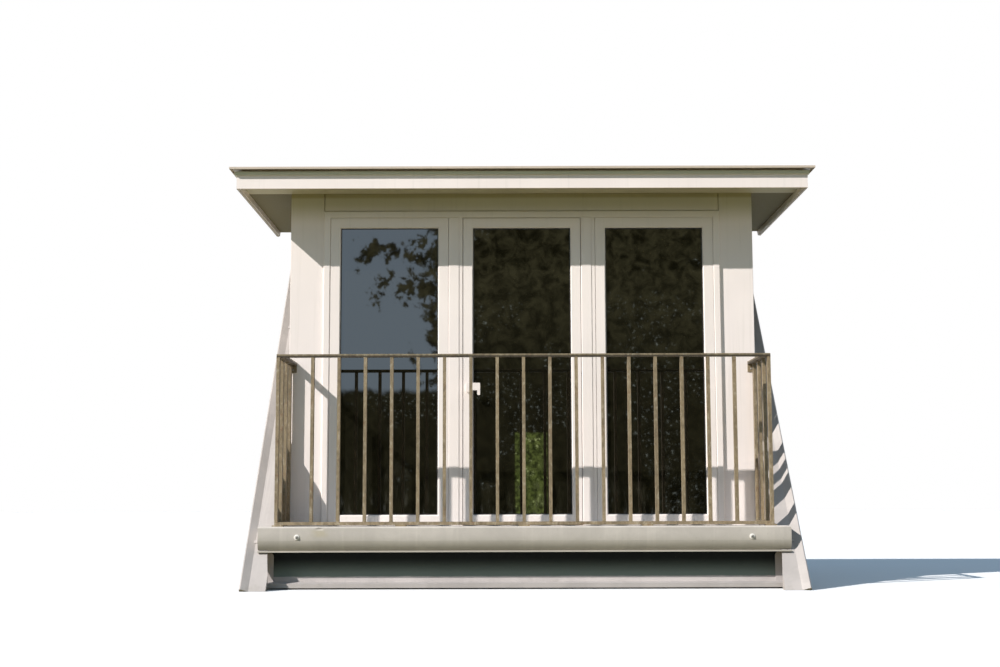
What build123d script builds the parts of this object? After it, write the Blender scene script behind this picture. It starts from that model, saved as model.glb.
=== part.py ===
from build123d import *
from math import cos, radians, sin, tan
import os

# Flat-roofed dormer with three glazed doors and a railed ledge, set into a slate roof.
# Millimetres. While modelling, x runs along the front and y into the house from the
# face of the corner boards, and z = 0 is the top of the ledge. At the end everything
# is moved so that the origin is the middle of the foot plate's underside.

# Roof slope that the dormer is set into
roof_pitch = 49.4
slope_height_at_wall = 583.0   # slate surface above the ledge, at the door wall
seat_depth = 60.0              # from the slate surface down to the rafters
seal_gap = 0.5                 # between the sheet flashings and what is cut over them

# Door wall
wall_width = 3134.0
board_thickness = 22.0
corner_board_width = 225.0
corner_return = 92.0
edge_easing = 2.0
head_board_height = 124.0
head_board_gap = 4.0           # shadow gap round the head board
stud_depth = 90.0
cheek_thickness = 89.0

# Door frame, three sashes and their glass
frame_face = 46.0
frame_depth = 70.0
frame_proud = 18.0
frame_chamfer = 5.0
mullion_face = 96.0
mullion_strip = 22.0
mullion_strip_setback = 3.0
mullion_groove = 4.0
mullion_groove_depth = 8.0
sash_gap = 2.0
opening_sash_extra_gap = 2.0   # more all round the middle sash, the one that opens
sash_height = 2069.0
sash_rail = 68.0
sash_setback = 3.0
sash_lip_width = 8.0           # lip of the sash that closes on the frame inside
sash_lip_thickness = 14.0
glass_thickness = 24.0
glass_rebate = 14.0
glass_setback = 20.0
glazing_gap = 0.5
bead_width = 6.0
door_count = 3

# Door handle on the middle sash
handle_height = 907.0
rose_width = 30.0
rose_height = 58.0
rose_thickness = 9.0
rose_corner_radius = 13.0
handle_standoff = 42.0
handle_reach = 72.0
handle_rod = 15.0
arm_height = 50.0
grip_length = 82.0
grip_width = 20.0
grip_corner_radius = 8.0
grip_drop = 9.0

# Threshold and sill beam
threshold_height = 40.0
threshold_top = -5.0
threshold_nose = 24.0
threshold_fall = 4.0
sill_beam_height = 80.0

# Flat roof
front_overhang = 350.0
side_overhang = 312.0
fascia_thickness = 22.0
fascia_drop = 40.0
fascia_drip = 6.6
soffit_thickness = 12.0
panel_thickness = 40.0
deck_board_thickness = 22.0
deck_board_nose = 12.0
sheet_thickness = 4.0
trim_projection = 43.0
trim_nose_height = 17.0
trim_height = 25.0
trim_wall = 4.0
trim_width = 79.0
drip_kick = 3.0
drip_lip = 1.0

# Kerbs, side walls of the balcony well and sheet flashings
well_clearance = 8.0           # from the corner boards out to the side walls
kerb_width = 70.0
head_kerb_width = 115.0
side_wall_thickness = 45.0
flashing_thickness = 4.0
flashing_width = 159.0
flashing_edge_width = 55.0
flashing_edge_height = 22.0
flashing_edge_side = 12.0
flashing_edge_crown = 9.0
flashing_upstand = 150.0
flashing_downstand = 52.0
flashing_sheet_length = 1975.0
first_seam_from_wall = -580.0
seam_width = 22.0
seam_height = 4.0
back_flashing_up = 200.0
back_flashing_lap = 110.0

# Balcony, ledge and apron
apron_setback = 115.0          # apron face behind the front of the ledge
ledge_front = 650.0            # ledge front, ahead of the door wall
ledge_height = 148.0
ledge_end_past_wall = 86.0
ledge_back = 430.0
ledge_top_radius = 10.0
ledge_curve_height = 62.0
ledge_curve_depth = 26.0
ledge_belly_height = 28.0
ledge_belly_depth = 8.0
hem_height = 9.0
hem_thickness = 3.0
hem_depth = 60.0
deck_thickness = 45.0
deck_step = 15.0               # deck lies this much below the ledge
apron_depth = 383.0            # ledge top down to the underside of the foot plate
foot_plate_height = 45.0
foot_plate_width = 140.0
foot_stud_width = 45.0
foot_stud_count = 10
anchor_spacing_x = 2400.0
anchor_spacing_y = 70.0
anchor_hole = 13.0
apron_sill_height = 27.0
apron_sill_fall = 6.0
apron_sill_up = 8.0
apron_end_gap = 1.0            # from the ends of apron and sill out to the kerbs
apron_return_width = 51.0
apron_return_thickness = 6.0
apron_return_radius = 30.0
apron_return_gap = 2.0         # below the ledge's hem
bay_width = 18.0               # full ledge beyond the flashing's leg, in front of the apron
bay_gap = 2.0                  # from there out to the flashing
bay_taper = 35.0               # how far the flashing's edge comes in again at its foot

# Railing of flat steel
rail_line = 545.0              # middle of the front rail, ahead of the door wall
rail_height = 1084.0
rail_inset = 2.0               # end of the rail inside the corner boards' outer face
handrail_width = 40.0
handrail_thickness = 20.0
handrail_rounding = 3.0
return_handrail_width = 50.0
bar_width = 20.0
bar_depth = 40.0
front_bar_count = 17
front_bar_spacing = 167.0
return_bar_count = 3
last_bar_from_wall = 35.0
foot_pad_length = 70.0
foot_pad_height = 8.0
wall_pad_height = 70.0
wall_pad_thickness = 5.0

# Worked out from the sizes above
slope = tan(radians(roof_pitch))
normal_y = -sin(radians(roof_pitch))
normal_z = cos(radians(roof_pitch))
half_wall = wall_width / 2
half_frame = half_wall - corner_board_width
post_inner = half_frame
cheek_outer = half_wall - board_thickness
cheek_inner = cheek_outer - cheek_thickness
well_half = half_wall + well_clearance
kerb_depth = seat_depth - flashing_thickness
kerb_inner = well_half + side_wall_thickness
kerb_outer = kerb_inner + kerb_width
flashing_edge = well_half - flashing_thickness
flashing_outer = flashing_edge + flashing_width
apron_end = kerb_inner - apron_end_gap
bay_end = flashing_edge + bay_width

sill_top = threshold_top - threshold_height
sash_bottom = threshold_top + sash_gap
sash_top = sash_bottom + sash_height
frame_top = sash_top + sash_gap + frame_face
soffit_z = frame_top + head_board_height
panel_bottom = soffit_z + soffit_thickness
deck_bottom = panel_bottom + panel_thickness
deck_top = deck_bottom + deck_board_thickness
fascia_half = half_wall + side_overhang
fascia_bottom = soffit_z - fascia_drop
sill_bottom = sill_top - sill_beam_height

frame_front = -frame_proud
frame_back = frame_front + frame_depth
clear_width = 2 * (half_frame - frame_face) - (door_count - 1) * mullion_face
sash_width = (clear_width - 2 * door_count * sash_gap) / door_count
sash_pitch = sash_width + 2 * sash_gap + mullion_face
sash_centres = [(i - (door_count - 1) / 2) * sash_pitch for i in range(door_count)]
sash_front = frame_front + sash_setback

apron_face = apron_setback - ledge_front
frame_wall_front = apron_face + board_thickness
balcony_floor = -deck_step
deck_under = balcony_floor - deck_thickness
foot_z = -apron_depth
foot_middle = frame_wall_front + foot_plate_width / 2
handrail_bottom = rail_height - handrail_thickness
rail_half = half_wall - rail_inset


def on_slope(y, n=0.0):
    """Height above y of a line that lies n above the slate surface."""
    return slope_height_at_wall + y * slope + n / normal_z


def slope_y(z, n=0.0):
    """Depth at which a line n above the slate surface has height z."""
    return (z - slope_height_at_wall - n / normal_z) / slope


def slope_point(y, n):
    """Point n square above the surface point at depth y, as (y, z)."""
    return (y + n * normal_y, on_slope(y) + n * normal_z)


def block(x, y, z):
    """Box between pairs of limits."""
    size = [high - low for low, high in (x, y, z)]
    middle = [(low + high) / 2 for low, high in (x, y, z)]
    return Pos(*middle) * Box(*size)


def along_x(points, x0, x1):
    """Outline in y and z, run from x0 to x1."""
    face = make_face(Plane.YZ.offset(x0) * Polyline(*points, close=True))
    return extrude(face, amount=x1 - x0, dir=(1, 0, 0))


def along_y(points, y0, y1):
    """Outline in x and z, run from y0 to y1."""
    plane = Plane(origin=(0, y0, 0), x_dir=(1, 0, 0), z_dir=(0, -1, 0))
    return extrude(make_face(plane * Polyline(*points, close=True)), amount=y1 - y0, dir=(0, 1, 0))


def along_z(points, z0, z1):
    """Outline in x and y, run from z0 to z1."""
    face = make_face(Plane.XY.offset(z0) * Polyline(*points, close=True))
    return extrude(face, amount=z1 - z0)


def slope_run(x, y, n):
    """Bar on the slope: limits across, depths of its square-cut ends, heights above the surface."""
    ends = [slope_point(depth, height) for depth, height in
            ((y[0], n[0]), (y[1], n[0]), (y[1], n[1]), (y[0], n[1]))]
    return along_x(ends, *x)


def under_slope(n, x_limit, reach=6000.0):
    """Everything below the line n above the slate surface, out to x_limit."""
    return slope_run((-x_limit, x_limit), (-reach, reach), (-reach, n))


def mirrored(solid):
    """The same piece on the right-hand side."""
    return mirror(solid, about=Plane.YZ)


def one_solid(shape):
    """The single solid of a shape."""
    return shape.solids()[0]


def front_edges(piece, axis):
    """Edges of a bar's front face that run along its length."""
    return piece.edges().filter_by(axis).group_by(Axis.Y)[0]


# Door frame: mitred head and jambs, with mullions between the sashes
def jamb():
    inner = half_frame - frame_face
    bar = along_y([(-half_frame, threshold_top), (-inner, threshold_top), (-inner, frame_top - frame_face),
                   (-half_frame, frame_top)], frame_front, frame_back)
    return chamfer(front_edges(bar, Axis.Z), frame_chamfer)


def frame_head():
    inner = half_frame - frame_face
    low = frame_top - frame_face
    bar = along_y([(-inner, low), (inner, low), (half_frame, frame_top), (-half_frame, frame_top)],
                  frame_front, frame_back)
    return chamfer(front_edges(bar, Axis.X), frame_chamfer)


def mullion(side):
    """Post between two sashes, with a groove and a lower strip on the right, as on both real ones."""
    middle = side * sash_pitch / 2
    outer = middle + mullion_face / 2
    bar = block((middle - mullion_face / 2, outer), (frame_front, frame_back),
                (threshold_top, frame_top - frame_face))
    bar = chamfer(front_edges(bar, Axis.Z), frame_chamfer)
    height = (threshold_top, frame_top - frame_face)
    bar -= block((outer - mullion_strip, outer), (frame_front, frame_front + mullion_strip_setback), height)
    groove = outer - mullion_strip
    bar -= block((groove - mullion_groove, groove), (frame_front, frame_front + mullion_groove_depth), height)
    return one_solid(bar)


# Sash: rails with a bevelled sight edge, a glazing rebate and a lip that closes on the frame
def centred(centre, size, y):
    """Upright slab centred on a sash, of the given width and height, between two depths."""
    middle_z = sash_bottom + sash_height / 2
    return block((centre - size[0] / 2, centre + size[0] / 2), y,
                 (middle_z - size[1] / 2, middle_z + size[1] / 2))


def grown(margin):
    """Width and height of the sash, larger by a margin all round."""
    return (sash_width + 2 * margin, sash_height + 2 * margin)


def door_sash(centre, extra_gap):
    sash_back = frame_back + sash_lip_thickness
    glass_y = (sash_front + glass_setback, sash_front + glass_setback + glass_thickness)
    body = centred(centre, grown(-extra_gap), (sash_front, frame_back))
    body += centred(centre, grown(sash_gap + sash_lip_width), (frame_back, sash_back))
    sash = body - centred(centre, grown(-sash_rail), (sash_front, sash_back))
    rebate_y = (glass_y[0] - glazing_gap, glass_y[1] + glazing_gap)
    sash -= centred(centre, grown(glass_rebate - sash_rail), rebate_y)
    front = sash.faces().filter_by(Axis.Y).sort_by(Axis.Y)[0]
    return one_solid(chamfer(front.inner_wires()[0].edges(), bead_width))


def door_glass(centre):
    front = sash_front + glass_setback
    return centred(centre, grown(glass_rebate - sash_rail - glazing_gap), (front, front + glass_thickness))


# Handle: rose on the stile, neck, a flat arm that reaches over the glass and an upright grip
def door_handle():
    centre_x = sash_centres[1] - sash_width / 2 + sash_rail / 2
    rose_front = sash_front - rose_thickness
    rose = Pos(centre_x, sash_front - rose_thickness / 2, handle_height) * Box(
        rose_width, rose_thickness, rose_height)
    rose = fillet(rose.edges().filter_by(Axis.Y), rose_corner_radius)
    neck = Pos(centre_x, rose_front - handle_standoff / 2, handle_height) * Rot(90, 0, 0) * Cylinder(
        handle_rod / 2, handle_standoff)
    rod_y = rose_front - handle_standoff
    top = handle_height - grip_drop + grip_length / 2
    arm = block((centre_x - handle_rod / 2, centre_x + handle_reach),
                (rod_y - handle_rod / 2, rod_y + handle_rod / 2), (top - arm_height, top))
    arm = fillet(arm.edges().filter_by(Axis.Y), handle_rod / 3)
    grip = Pos(centre_x + handle_reach, rod_y, handle_height - grip_drop) * Box(
        grip_width, handle_rod, grip_length)
    grip = fillet(grip.edges().filter_by(Axis.Y), grip_corner_radius)
    return rose + neck + arm + grip


def door_threshold():
    nose_y = frame_front - threshold_nose
    points = [(nose_y, threshold_top - threshold_fall), (frame_front, threshold_top),
              (frame_back, threshold_top), (frame_back, sill_top), (0, sill_top),
              (0, balcony_floor), (nose_y, balcony_floor)]
    return along_x(points, -half_frame, half_frame)


# Front wall: posts, lintel and boards
def corner_post():
    return block((-cheek_inner, -post_inner), (board_thickness, board_thickness + stud_depth),
                 (sill_top, panel_bottom))


def corner_board():
    outer = -half_wall
    points = [(outer, 0), (outer + corner_board_width, 0), (outer + corner_board_width, board_thickness),
              (outer + board_thickness, board_thickness), (outer + board_thickness, corner_return),
              (outer, corner_return)]
    board = along_z(points, balcony_floor, soffit_z)
    return chamfer(front_edges(board, Axis.Z), edge_easing)


def lintel():
    return block((-post_inner, post_inner), (board_thickness, board_thickness + stud_depth),
                 (frame_top, panel_bottom))


def head_board():
    half = half_frame - head_board_gap
    board = block((-half, half), (0, board_thickness), (frame_top + head_board_gap, soffit_z))
    return chamfer(front_edges(board, Axis.X) + front_edges(board, Axis.Z), edge_easing)


# Cheeks: triangular side walls that stand on the rafters and carry the flat roof
kerb_corner_y = slope_y(panel_bottom, -flashing_thickness)


def cheek():
    front = board_thickness
    corner = (kerb_corner_y, panel_bottom)
    foot = (kerb_corner_y - kerb_depth * normal_y, panel_bottom - kerb_depth * normal_z)
    points = [(front, on_slope(front, -seat_depth)), (front, panel_bottom), corner, foot]
    return along_x(points, -cheek_outer, -cheek_inner)


def cheek_cladding():
    front = corner_return
    bottom = seal_gap
    points = [(front, on_slope(front, bottom)), (front, soffit_z), (slope_y(soffit_z, bottom), soffit_z)]
    return along_x(points, -half_wall, -cheek_outer)


# Flat roof
def slope_cutter():
    """What is cut off the flat roof where it runs into the slope."""
    return under_slope(seal_gap, fascia_half * 2)


def roof_panel():
    half = fascia_half - fascia_thickness
    rear = slope_y(deck_top)
    slab = block((-half, half), (fascia_thickness - front_overhang, rear), (panel_bottom, deck_bottom))
    return slab - slope_cutter()


def roof_deck():
    half = fascia_half + deck_board_nose
    rear = slope_y(deck_top) + deck_board_thickness
    slab = block((-half, half), (-front_overhang - deck_board_nose, rear), (deck_bottom, deck_top))
    return slab - slope_cutter()


def ceiling_lining():
    rear = kerb_corner_y
    return block((-cheek_inner, cheek_inner), (board_thickness + stud_depth, rear), (soffit_z, panel_bottom))


def soffit_front():
    half = fascia_half - fascia_thickness
    return block((-half, half), (fascia_thickness - front_overhang, 0), (soffit_z, panel_bottom))


def soffit_side():
    outer = -fascia_half + fascia_thickness
    rear = slope_y(panel_bottom)
    board = block((outer, -half_wall), (0, rear), (soffit_z, panel_bottom))
    return board - slope_cutter()


# Mitred boards and trims round the roof edge: one outline swept round three sides
def edge_outline(points, side):
    """Run an outline given as (distance outside the fascia face, z) along the front or a side."""
    reach = fascia_half * 3
    if side == "front":
        run = along_x([(-front_overhang - out, z) for out, z in points], -reach, reach)
    else:
        run = along_y([(-fascia_half - out, z) for out, z in points], -reach, reach)
    return run


def mitre_wedge(side):
    """The part of the plan that belongs to the front or to the left side of the roof edge."""
    corner_x = -fascia_half
    corner_y = -front_overhang
    reach = fascia_half * 4
    if side == "front":
        plan = [(corner_x - reach, corner_y - reach), (-corner_x + reach, corner_y - reach),
                (-corner_x, corner_y), (0, corner_y - corner_x), (corner_x, corner_y)]
    else:
        plan = [(corner_x - reach, corner_y - reach), (corner_x, corner_y), (0, corner_y - corner_x),
                (0, reach), (corner_x - reach, reach)]
    return along_z(plan, -reach, reach)


def roof_edge_piece(points, side):
    piece = edge_outline(points, side) & mitre_wedge(side)
    if side != "front":
        piece -= slope_cutter()
    return one_solid(piece)


def fascia(side):
    points = [(0, fascia_bottom), (0, deck_bottom), (-fascia_thickness, deck_bottom),
              (-fascia_thickness, fascia_bottom + fascia_drip),
              (-fascia_thickness + fascia_drip, fascia_bottom)]
    return roof_edge_piece(points, side)


def edge_trim(side):
    outer = trim_projection
    inner = trim_projection - trim_width
    top = deck_top + trim_height
    nose = top - trim_nose_height
    points = [(outer, nose + drip_kick), (outer, top), (inner, top), (inner, deck_top),
              (inner + trim_wall, deck_top), (inner + trim_wall, top - trim_wall),
              (outer - trim_wall, top - trim_wall), (outer - trim_wall, nose),
              (outer - trim_wall + drip_lip, nose)]
    return roof_edge_piece(points, side)


def back_flashing():
    lap_front = slope_y(deck_top, seal_gap) - back_flashing_lap
    under = -flashing_thickness
    crease_low = (slope_y(deck_top, under), deck_top)
    crease_high = (slope_y(deck_top + sheet_thickness), deck_top + sheet_thickness)
    up = slope_y(deck_top) + back_flashing_up * normal_z
    points = [(lap_front, deck_top), crease_low, slope_point(up, under), slope_point(up, 0),
              crease_high, (lap_front, deck_top + sheet_thickness)]
    return along_x(points, -flashing_outer, flashing_outer)


def roof_sheet():
    inset = trim_width - trim_projection + seal_gap
    half = fascia_half - inset
    rear = slope_y(deck_top, seal_gap) - back_flashing_lap
    return block((-half, half), (inset - front_overhang, rear), (deck_top, deck_top + sheet_thickness))


# Kerbs on the rafters: one down each side to the foot, one across the head
def side_kerb():
    low, high = -seat_depth, -flashing_thickness
    head_top = (kerb_corner_y, panel_bottom)
    head_low = (kerb_corner_y - kerb_depth * normal_y, panel_bottom - kerb_depth * normal_z)
    points = [(slope_y(foot_z, low), foot_z), head_low, head_top, (slope_y(foot_z, high), foot_z)]
    return along_x(points, -kerb_outer, -kerb_inner)


def head_kerb():
    start = (kerb_corner_y, panel_bottom)
    along = (head_kerb_width * normal_z, -head_kerb_width * normal_y)
    down = (-kerb_depth * normal_y, -kerb_depth * normal_z)
    points = [start, (start[0] + along[0], start[1] + along[1]),
              (start[0] + along[0] + down[0], start[1] + along[1] + down[1]),
              (start[0] + down[0], start[1] + down[1])]
    return along_x(points, -kerb_outer, kerb_outer)


# Side walls of the balcony well: down to the foot in front, a rail beside the kerb behind
def side_wall():
    rear = board_thickness + stud_depth
    foot_rear = frame_wall_front + foot_plate_width
    low, high = -seat_depth, -flashing_thickness
    head_top = (kerb_corner_y, panel_bottom)
    head_low = (kerb_corner_y - kerb_depth * normal_y, panel_bottom - kerb_depth * normal_z)
    front = frame_wall_front
    points = [(front, foot_z), (foot_rear, foot_z), (foot_rear, sill_bottom), (rear, sill_bottom),
              (rear, on_slope(rear, low)), head_low, head_top, (front, on_slope(front, high))]
    return along_x(points, -kerb_inner, -well_half)


# Sheet flashing beside the dormer: flat on the slope, its outer edge raised, an upstand or turned-down leg
def side_flashing():
    foot_y = slope_y(foot_z)
    top_y = slope_y(deck_top) - 1
    under = -flashing_thickness
    outer = -flashing_outer
    inner = -flashing_edge
    sheet = slope_run((outer, inner), (foot_y, top_y), (under, 0))
    upstand = slope_run((-well_half, -half_wall - seal_gap), (0, top_y), (under, flashing_upstand))
    upstand -= block((-well_half, 0), (-flashing_upstand * 2, 0), (0, soffit_z))
    leg = slope_run((-well_half, -flashing_edge), (foot_y, -board_thickness), (-flashing_downstand, 0))
    roll_plane = Plane(origin=(outer, *slope_point(foot_y, 0)), x_dir=(1, 0, 0),
                       z_dir=(0, -normal_z, normal_y))
    side, crown = (0, flashing_edge_side), (flashing_edge_crown, flashing_edge_height)
    shoulder = (flashing_edge_crown * (1 - cos(radians(45))),
                flashing_edge_side + (flashing_edge_height - flashing_edge_side) * sin(radians(45)))
    bead = make_face(roll_plane * (Polyline(crown, (flashing_edge_width, 0), (0, 0), side)
                                   + ThreePointArc(side, shoulder, crown)))
    length = (top_y - foot_y) / normal_z
    roll = extrude(bead, amount=length, dir=(0, normal_z, -normal_y))
    piece = sheet + upstand + leg + roll
    for k in range(2):
        seam_y = first_seam_from_wall + k * flashing_sheet_length * normal_z
        half = seam_width / 2 * normal_z
        piece += slope_run((outer, inner), (seam_y - half, seam_y + half), (under, seam_height))
    reach = fascia_half * 2
    piece -= block((-reach, 0), (-reach, reach), (soffit_z - seal_gap, reach))
    piece -= block((-reach, 0), (-reach, reach), (-reach, foot_z))
    edge = bay_end + bay_gap
    bay = [(0, frame_wall_front), (-edge, frame_wall_front), (-edge, -ledge_front),
           (-edge + bay_taper, foot_y), (-edge + bay_taper, -reach), (0, -reach)]
    piece -= along_z(bay, -reach, 0)
    return one_solid(piece)


# Balcony deck, ledge and apron
def balcony_deck():
    return block((-well_half, well_half), (-ledge_back, 0), (deck_under, balcony_floor))


def sill_beam():
    return block((-well_half, well_half), (0, board_thickness + stud_depth), (sill_bottom, sill_top))


def ledge_profile():
    front = -ledge_front
    bottom = -ledge_height
    curve_top = bottom + ledge_curve_height
    r = ledge_top_radius
    straight = Polyline((front + r, 0), (-ledge_back, 0), (-ledge_back, deck_under), (apron_face, deck_under),
                        (apron_face, bottom), (front + ledge_curve_depth, bottom))
    belly = ThreePointArc((front + ledge_curve_depth, bottom),
                          (front + ledge_belly_depth, bottom + ledge_belly_height),
                          (front, curve_top))
    face = Line((front, curve_top), (front, -r))
    nose = ThreePointArc((front, -r), (front + r * (1 - cos(radians(45))), -r * (1 - sin(radians(45)))),
                         (front + r, 0))
    return make_face(Plane.YZ * (straight + belly + face + nose))


def ledge_hem():
    """Folded hem that hangs below the ledge and throws the water clear."""
    front = -ledge_front
    bottom = -ledge_height
    return [(front - hem_thickness, bottom - hem_height), (front - hem_thickness / 2, bottom - hem_thickness),
            (front + ledge_curve_depth, bottom), (front + hem_depth, bottom),
            (front + hem_depth, bottom - hem_thickness), (front + ledge_curve_depth, bottom - hem_thickness),
            (front + hem_thickness, bottom - hem_height)]


def ledge_nose():
    half = half_wall + ledge_end_past_wall
    bar = Pos(-half, 0, 0) * extrude(ledge_profile(), amount=2 * half, dir=(1, 0, 0))
    bar += along_x(ledge_hem(), -half, half)
    for side in (-1, 1):
        limits = sorted((side * flashing_edge, side * half * 2))
        cut = slope_run(limits, (-ledge_front * 6, ledge_front * 6),
                        (-ledge_front * 6, seam_height + seal_gap))
        cut -= block(sorted((side * flashing_edge, side * bay_end)), (-ledge_front * 2, frame_wall_front),
                     (-ledge_front * 6, ledge_front * 6))
        bar -= cut
    return one_solid(bar)


def foot_plate():
    plate = block((-well_half, well_half), (frame_wall_front, frame_wall_front + foot_plate_width),
                  (foot_z, foot_z + foot_plate_height))
    for x in (-anchor_spacing_x / 2, anchor_spacing_x / 2):
        for y in (-anchor_spacing_y / 2, anchor_spacing_y / 2):
            plate -= Pos(x, foot_middle + y, foot_z + foot_plate_height / 2) * Cylinder(
                anchor_hole / 2, foot_plate_height)
    return plate


def foot_frame():
    low = foot_z + foot_plate_height
    back = frame_wall_front + stud_depth
    half = flashing_edge
    rail = block((-half, half), (frame_wall_front, back), (deck_under - foot_stud_width, deck_under))
    pitch = (2 * half - foot_stud_width) / (foot_stud_count - 1)
    for k in range(foot_stud_count):
        x = -half + k * pitch
        rail += block((x, x + foot_stud_width), (frame_wall_front, back), (low, deck_under))
    return rail


def apron_panel():
    return block((-apron_end, apron_end), (apron_face, frame_wall_front), (foot_z, deck_under))


def apron_sill():
    """Sloped sill at the foot of the apron, in line with the front of the ledge."""
    low = foot_z + apron_sill_up
    top = low + apron_sill_height
    front = -ledge_front
    points = [(apron_face, low), (apron_face, top + apron_sill_fall), (front, top), (front, low)]
    return along_x(points, -apron_end, apron_end)


def apron_return():
    """Upright strip on the apron's end, its top corner rounded off."""
    bottom = foot_z + apron_sill_up + apron_sill_height + apron_sill_fall
    strip = block((-apron_end, apron_return_width - apron_end),
                  (apron_face - apron_return_thickness, apron_face),
                  (bottom, -ledge_height - hem_height - apron_return_gap))
    corner = strip.edges().filter_by(Axis.Y).group_by(Axis.Z)[-1].sort_by(Axis.X)[-1]
    return fillet(corner, apron_return_radius)


# Railing: flat bars welded between a bottom bar and a flat handrail
def railing_front():
    y = -rail_line
    low = foot_pad_height
    top = block((-rail_half, rail_half), (y - handrail_width / 2, y + handrail_width / 2),
                (handrail_bottom, rail_height))
    top = fillet(top.edges().filter_by(Axis.X), handrail_rounding)
    bar_y = (y - bar_depth / 2, y + bar_depth / 2)
    rail = top + block((-rail_half, rail_half), bar_y, (low, low + bar_width))
    places = [(k - (front_bar_count - 1) / 2) * front_bar_spacing for k in range(front_bar_count)]
    places += [-rail_half + bar_width / 2, rail_half - bar_width / 2]
    for x in places:
        rail += block((x - bar_width / 2, x + bar_width / 2), bar_y, (low, handrail_bottom))
    end = rail_half - bar_depth / 2
    for x in [end * k / 2 for k in (-2, -1, 0, 1, 2)]:
        rail += block((x - foot_pad_length / 2, x + foot_pad_length / 2), bar_y, (0, low))
    return rail


def railing_return():
    start = -rail_line + handrail_width / 2
    outer = -rail_half
    bar_x = (outer, outer + bar_width)
    low = foot_pad_height
    rail = block((outer, outer + return_handrail_width), (start, 0), (handrail_bottom, rail_height))
    rail = fillet(rail.edges().filter_by(Axis.Y), handrail_rounding)
    rail += block(bar_x, (-rail_line + bar_depth / 2, 0), (low, low + bar_width))
    spacing = (rail_line - last_bar_from_wall) / return_bar_count
    for k in range(return_bar_count):
        y = -last_bar_from_wall - k * spacing
        rail += block(bar_x, (y - bar_depth / 2, y + bar_depth / 2), (low, handrail_bottom))
    rail += block((outer, outer + return_handrail_width), (-wall_pad_thickness, 0),
                  (rail_height - wall_pad_height, rail_height))
    return rail


# Every piece by its name
pieces = {
    "left_jamb": jamb(),
    "left_mullion": mullion(-1),
    "frame_head": frame_head(),
    "door_threshold": door_threshold(),
    "door_handle": door_handle(),
    "left_corner_post": corner_post(),
    "left_corner_board": corner_board(),
    "lintel": lintel(),
    "head_board": head_board(),
    "left_cheek": cheek(),
    "left_cheek_cladding": cheek_cladding(),
    "roof_panel": roof_panel(),
    "roof_deck": roof_deck(),
    "roof_sheet": roof_sheet(),
    "ceiling_lining": ceiling_lining(),
    "soffit_front": soffit_front(),
    "left_soffit": soffit_side(),
    "fascia_front": fascia("front"),
    "left_fascia": fascia("left"),
    "edge_trim_front": edge_trim("front"),
    "left_edge_trim": edge_trim("left"),
    "back_flashing": back_flashing(),
    "left_kerb": side_kerb(),
    "head_kerb": head_kerb(),
    "left_side_wall": side_wall(),
    "left_side_flashing": side_flashing(),
    "balcony_deck": balcony_deck(),
    "sill_beam": sill_beam(),
    "ledge_nose": ledge_nose(),
    "foot_plate": foot_plate(),
    "foot_frame": foot_frame(),
    "apron_panel": apron_panel(),
    "apron_sill": apron_sill(),
    "left_apron_return": apron_return(),
    "railing_front": railing_front(),
    "left_railing": railing_return(),
}
pieces["right_mullion"] = mullion(1)
for name in [name for name in pieces if name.startswith("left_") and name != "left_mullion"]:
    pieces[name.replace("left_", "right_")] = mirrored(pieces[name])
for side, centre, extra_gap in zip(("left", "middle", "right"), sash_centres, (0, opening_sash_extra_gap, 0)):
    pieces[side + "_door_sash"] = door_sash(centre, extra_gap)
    pieces[side + "_door_glass"] = door_glass(centre)

os.makedirs("parts", exist_ok=True)
for name, piece in pieces.items():
    export_step(Pos(0, -foot_middle, -foot_z) * piece, "parts/" + name + ".step")
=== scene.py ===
from math import cos, pi, radians, sin, tan

import bmesh
import bpy
from bpy.props import FloatProperty, FloatVectorProperty, IntProperty, PointerProperty
from mathutils import Matrix, Vector


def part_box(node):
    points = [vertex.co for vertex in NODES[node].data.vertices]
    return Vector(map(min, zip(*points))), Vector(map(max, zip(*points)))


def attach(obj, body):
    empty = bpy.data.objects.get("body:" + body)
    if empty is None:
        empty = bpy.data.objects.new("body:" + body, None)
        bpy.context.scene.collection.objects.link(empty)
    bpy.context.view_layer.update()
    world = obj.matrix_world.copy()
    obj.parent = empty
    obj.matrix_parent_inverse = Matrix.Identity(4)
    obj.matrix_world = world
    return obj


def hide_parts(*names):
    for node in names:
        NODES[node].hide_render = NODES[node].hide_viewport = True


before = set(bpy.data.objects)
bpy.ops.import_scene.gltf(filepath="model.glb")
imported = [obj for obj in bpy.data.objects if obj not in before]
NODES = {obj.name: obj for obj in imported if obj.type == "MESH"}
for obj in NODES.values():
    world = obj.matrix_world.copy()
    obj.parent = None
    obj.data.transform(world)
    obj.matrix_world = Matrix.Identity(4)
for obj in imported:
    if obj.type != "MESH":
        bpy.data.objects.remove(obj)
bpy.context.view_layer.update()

bl_info = {
    "name": "Dormer with glazed doors",
    "version": (1, 0, 0),
    "blender": (4, 5, 0),
    "location": "View3D > Sidebar > Dormer",
    "description": "Finishes and fittings of a flat-roofed dormer with a railed ledge",
    "category": "Object",
}

LEFT_RIGHT = ("left", "right")
DOORS = ("left", "middle", "right")
FACING_OUT = Matrix.Rotation(pi / 2, 3, "X")    # turns +Z to -Y, the dormer's front
SMOOTH_BELOW = radians(35)    # faces that meet at less than this are shaded as one
BEVEL_STEPS = 2
CAMERA_SENSOR = 36.0          # mm
CAMERA_REACH = 200.0          # m
FLOOR_RADIUS = 60.0
FLOOR_DROP = 0.001            # keeps the floor clear of the dormer's foot

# Round screw head with a socket: radius and height in metres, from its middle to its rim
SCREW_HEAD = [(0.0, 0.0015), (0.0016, 0.0015), (0.0018, 0.0040), (0.0040, 0.0034), (0.0062, 0.0014),
              (0.0066, 0.0), (0.0, 0.0)]
SCREW_STEPS = 20


def both(name):
    return ["left_" + name, "right_" + name]


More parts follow.
